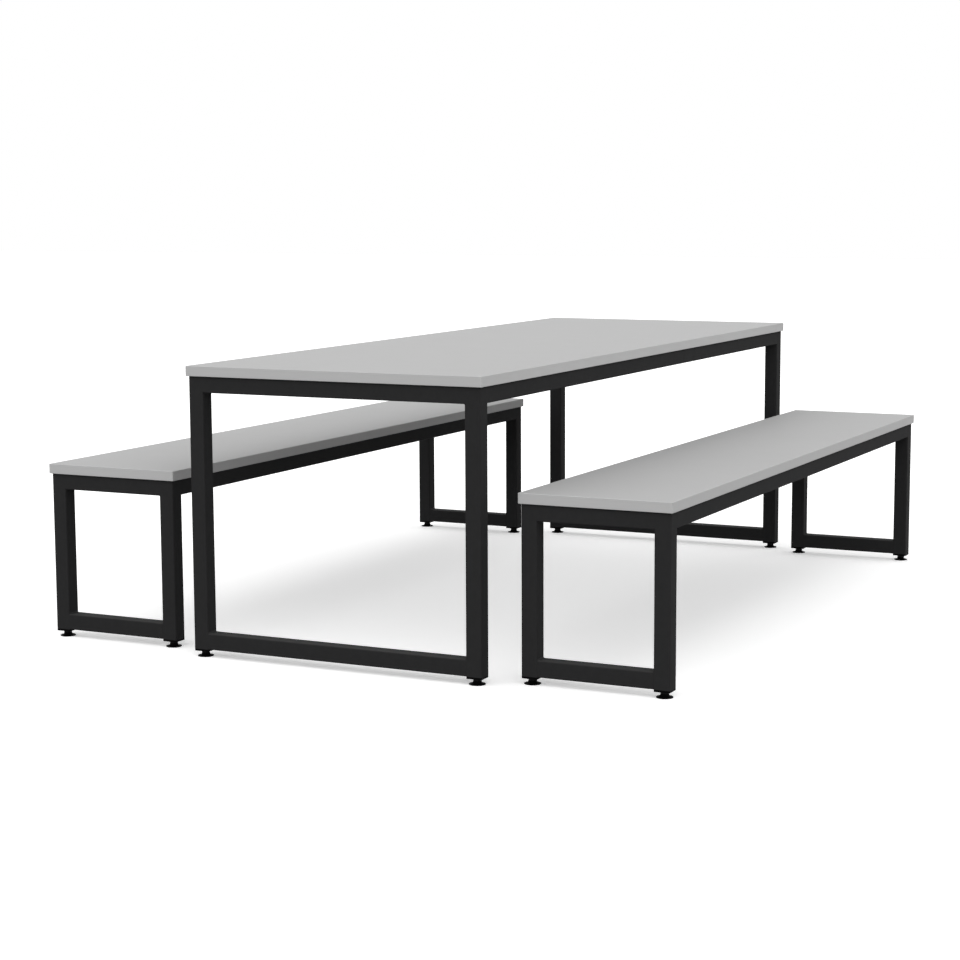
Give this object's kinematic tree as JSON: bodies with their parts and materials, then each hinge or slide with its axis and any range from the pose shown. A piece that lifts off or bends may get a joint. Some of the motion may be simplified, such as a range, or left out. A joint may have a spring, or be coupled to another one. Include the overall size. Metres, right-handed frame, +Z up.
{
  "type": "canteen table with loose benches",
  "caption": "Rectangular canteen table and matching loose benches, grey boards on black square tube frames with closed loop ends and screw feet.",
  "frame": {"origin": "on the floor, at the middle of the ground that the table and both benches cover", "axes": "+X along the table, +Y across it from the front bench to the back bench, +Z up"},
  "size_m": [2.2, 1.705, 0.72],
  "materials": {
    "laminate": "light grey matt laminate on chipboard",
    "edging_plastic": "light grey plastic edging, matt",
    "black_steel": "black powder coat, matt, very fine texture",
    "black_plastic": "black moulded plastic",
    "black_zinc": "black zinc plate on steel"
  },
  "bodies": {
    "table_left_front_foot": {"table_left_front_foot_base": "black_plastic"},
    "table_left_front_screw": {"table_left_front_foot_screw": "black_zinc"},
    "table_left_back_foot": {"table_left_back_foot_base": "black_plastic"},
    "table_left_back_screw": {"table_left_back_foot_screw": "black_zinc"},
    "table_right_front_foot": {"table_right_front_foot_base": "black_plastic"},
    "table_right_front_screw": {"table_right_front_foot_screw": "black_zinc"},
    "table_right_back_foot": {"table_right_back_foot_base": "black_plastic"},
    "table_right_back_screw": {"table_right_back_foot_screw": "black_zinc"},
    "table": {"table_top": "laminate", "table_edging": "edging_plastic", "table_left_top_rail": "black_steel", "table_left_foot_rail": "black_steel", "table_right_top_rail": "black_steel", "table_right_foot_rail": "black_steel", "table_side_rails": "black_steel", "table_leg_inserts": "black_plastic", "table_left_front_leg": "black_steel", "table_left_back_leg": "black_steel", "table_right_front_leg": "black_steel", "table_right_back_leg": "black_steel"},
    "front_bench_left_front_foot": {"front_bench_left_front_foot_base": "black_plastic"},
    "front_bench_left_front_screw": {"front_bench_left_front_foot_screw": "black_zinc"},
    "front_bench_left_back_foot": {"front_bench_left_back_foot_base": "black_plastic"},
    "front_bench_left_back_screw": {"front_bench_left_back_foot_screw": "black_zinc"},
    "front_bench_right_front_foot": {"front_bench_right_front_foot_base": "black_plastic"},
    "front_bench_right_front_screw": {"front_bench_right_front_foot_screw": "black_zinc"},
    "front_bench_right_back_foot": {"front_bench_right_back_foot_base": "black_plastic"},
    "front_bench_right_back_screw": {"front_bench_right_back_foot_screw": "black_zinc"},
    "front_bench": {"front_bench_seat": "laminate", "front_bench_edging": "edging_plastic", "front_bench_left_top_rail": "black_steel", "front_bench_left_foot_rail": "black_steel", "front_bench_right_top_rail": "black_steel", "front_bench_right_foot_rail": "black_steel", "front_bench_side_rails": "black_steel", "front_bench_leg_inserts": "black_plastic", "front_bench_left_front_leg": "black_steel", "front_bench_left_back_leg": "black_steel", "front_bench_right_front_leg": "black_steel", "front_bench_right_back_leg": "black_steel"},
    "back_bench_left_front_foot": {"back_bench_left_front_foot_base": "black_plastic"},
    "back_bench_left_front_screw": {"back_bench_left_front_foot_screw": "black_zinc"},
    "back_bench_left_back_foot": {"back_bench_left_back_foot_base": "black_plastic"},
    "back_bench_left_back_screw": {"back_bench_left_back_foot_screw": "black_zinc"},
    "back_bench_right_front_foot": {"back_bench_right_front_foot_base": "black_plastic"},
    "back_bench_right_front_screw": {"back_bench_right_front_foot_screw": "black_zinc"},
    "back_bench_right_back_foot": {"back_bench_right_back_foot_base": "black_plastic"},
    "back_bench_right_back_screw": {"back_bench_right_back_foot_screw": "black_zinc"},
    "back_bench": {"back_bench_seat": "laminate", "back_bench_edging": "edging_plastic", "back_bench_left_top_rail": "black_steel", "back_bench_left_foot_rail": "black_steel", "back_bench_right_top_rail": "black_steel", "back_bench_right_foot_rail": "black_steel", "back_bench_side_rails": "black_steel", "back_bench_leg_inserts": "black_plastic", "back_bench_left_front_leg": "black_steel", "back_bench_left_back_leg": "black_steel", "back_bench_right_front_leg": "black_steel", "back_bench_right_back_leg": "black_steel"}
  },
  "joints": [
    {"name": "back_bench_push_in", "type": "slide", "parent": "table", "child": "back_bench", "axis": [0, -1, 0], "range_m": [-0.15, 0.473]},
    {"name": "front_bench_push_in", "type": "slide", "parent": "table", "child": "front_bench", "axis": [0, 1, 0], "range_m": [-0.15, 0.452]},
    {"name": "table_left_front_foot_height", "type": "slide", "parent": "table", "child": "table_left_front_foot", "axis": [0, 0, 1], "range_m": [-0.015, 0]},
    {"name": "table_left_front_screw_turn", "type": "hinge", "parent": "table_left_front_foot", "child": "table_left_front_screw", "pos_m": [-1.074, -0.3845, 0.015], "axis": [0, 0, 1], "continuous": true},
    {"name": "table_left_back_foot_height", "type": "slide", "parent": "table", "child": "table_left_back_foot", "axis": [0, 0, 1], "range_m": [-0.015, 0]},
    {"name": "table_left_back_screw_turn", "type": "hinge", "parent": "table_left_back_foot", "child": "table_left_back_screw", "pos_m": [-1.074, 0.3635, 0.015], "axis": [0, 0, 1], "continuous": true},
    {"name": "table_right_front_foot_height", "type": "slide", "parent": "table", "child": "table_right_front_foot", "axis": [0, 0, 1], "range_m": [-0.015, 0]},
    {"name": "table_right_front_screw_turn", "type": "hinge", "parent": "table_right_front_foot", "child": "table_right_front_screw", "pos_m": [1.074, -0.3845, 0.015], "axis": [0, 0, 1], "continuous": true},
    {"name": "table_right_back_foot_height", "type": "slide", "parent": "table", "child": "table_right_back_foot", "axis": [0, 0, 1], "range_m": [-0.015, 0]},
    {"name": "table_right_back_screw_turn", "type": "hinge", "parent": "table_right_back_foot", "child": "table_right_back_screw", "pos_m": [1.074, 0.3635, 0.015], "axis": [0, 0, 1], "continuous": true},
    {"name": "front_bench_left_front_foot_height", "type": "slide", "parent": "front_bench", "child": "front_bench_left_front_foot", "axis": [0, 0, 1], "range_m": [-0.015, 0]},
    {"name": "front_bench_left_front_screw_turn", "type": "hinge", "parent": "front_bench_left_front_foot", "child": "front_bench_left_front_screw", "pos_m": [-1.014, -0.8265, 0.015], "axis": [0, 0, 1], "continuous": true},
    {"name": "front_bench_left_back_foot_height", "type": "slide", "parent": "front_bench", "child": "front_bench_left_back_foot", "axis": [0, 0, 1], "range_m": [-0.015, 0]},
    {"name": "front_bench_left_back_screw_turn", "type": "hinge", "parent": "front_bench_left_back_foot", "child": "front_bench_left_back_screw", "pos_m": [-1.014, -0.4985, 0.015], "axis": [0, 0, 1], "continuous": true},
    {"name": "front_bench_right_front_foot_height", "type": "slide", "parent": "front_bench", "child": "front_bench_right_front_foot", "axis": [0, 0, 1], "range_m": [-0.015, 0]},
    {"name": "front_bench_right_front_screw_turn", "type": "hinge", "parent": "front_bench_right_front_foot", "child": "front_bench_right_front_screw", "pos_m": [1.014, -0.8265, 0.015], "axis": [0, 0, 1], "continuous": true},
    {"name": "front_bench_right_back_foot_height", "type": "slide", "parent": "front_bench", "child": "front_bench_right_back_foot", "axis": [0, 0, 1], "range_m": [-0.015, 0]},
    {"name": "front_bench_right_back_screw_turn", "type": "hinge", "parent": "front_bench_right_back_foot", "child": "front_bench_right_back_screw", "pos_m": [1.014, -0.4985, 0.015], "axis": [0, 0, 1], "continuous": true},
    {"name": "back_bench_left_front_foot_height", "type": "slide", "parent": "back_bench", "child": "back_bench_left_front_foot", "axis": [0, 0, 1], "range_m": [-0.015, 0]},
    {"name": "back_bench_left_front_screw_turn", "type": "hinge", "parent": "back_bench_left_front_foot", "child": "back_bench_left_front_screw", "pos_m": [-1.014, 0.4985, 0.015], "axis": [0, 0, 1], "continuous": true},
    {"name": "back_bench_left_back_foot_height", "type": "slide", "parent": "back_bench", "child": "back_bench_left_back_foot", "axis": [0, 0, 1], "range_m": [-0.015, 0]},
    {"name": "back_bench_left_back_screw_turn", "type": "hinge", "parent": "back_bench_left_back_foot", "child": "back_bench_left_back_screw", "pos_m": [-1.014, 0.8265, 0.015], "axis": [0, 0, 1], "continuous": true},
    {"name": "back_bench_right_front_foot_height", "type": "slide", "parent": "back_bench", "child": "back_bench_right_front_foot", "axis": [0, 0, 1], "range_m": [-0.015, 0]},
    {"name": "back_bench_right_front_screw_turn", "type": "hinge", "parent": "back_bench_right_front_foot", "child": "back_bench_right_front_screw", "pos_m": [1.014, 0.4985, 0.015], "axis": [0, 0, 1], "continuous": true},
    {"name": "back_bench_right_back_foot_height", "type": "slide", "parent": "back_bench", "child": "back_bench_right_back_foot", "axis": [0, 0, 1], "range_m": [-0.015, 0]},
    {"name": "back_bench_right_back_screw_turn", "type": "hinge", "parent": "back_bench_right_back_foot", "child": "back_bench_right_back_screw", "pos_m": [1.014, 0.8265, 0.015], "axis": [0, 0, 1], "continuous": true}
  ],
  "couplings": [
    {"joint": "table_left_front_screw_turn", "follows": "table_left_front_foot_height", "rad_per_m": 4188.8},
    {"joint": "table_left_back_screw_turn", "follows": "table_left_back_foot_height", "rad_per_m": 4188.8},
    {"joint": "table_right_front_screw_turn", "follows": "table_right_front_foot_height", "rad_per_m": 4188.8},
    {"joint": "table_right_back_screw_turn", "follows": "table_right_back_foot_height", "rad_per_m": 4188.8},
    {"joint": "front_bench_left_front_screw_turn", "follows": "front_bench_left_front_foot_height", "rad_per_m": 4188.8},
    {"joint": "front_bench_left_back_screw_turn", "follows": "front_bench_left_back_foot_height", "rad_per_m": 4188.8},
    {"joint": "front_bench_right_front_screw_turn", "follows": "front_bench_right_front_foot_height", "rad_per_m": 4188.8},
    {"joint": "front_bench_right_back_screw_turn", "follows": "front_bench_right_back_foot_height", "rad_per_m": 4188.8},
    {"joint": "back_bench_left_front_screw_turn", "follows": "back_bench_left_front_foot_height", "rad_per_m": 4188.8},
    {"joint": "back_bench_left_back_screw_turn", "follows": "back_bench_left_back_foot_height", "rad_per_m": 4188.8},
    {"joint": "back_bench_right_front_screw_turn", "follows": "back_bench_right_front_foot_height", "rad_per_m": 4188.8},
    {"joint": "back_bench_right_back_screw_turn", "follows": "back_bench_right_back_foot_height", "rad_per_m": 4188.8}
  ]
}
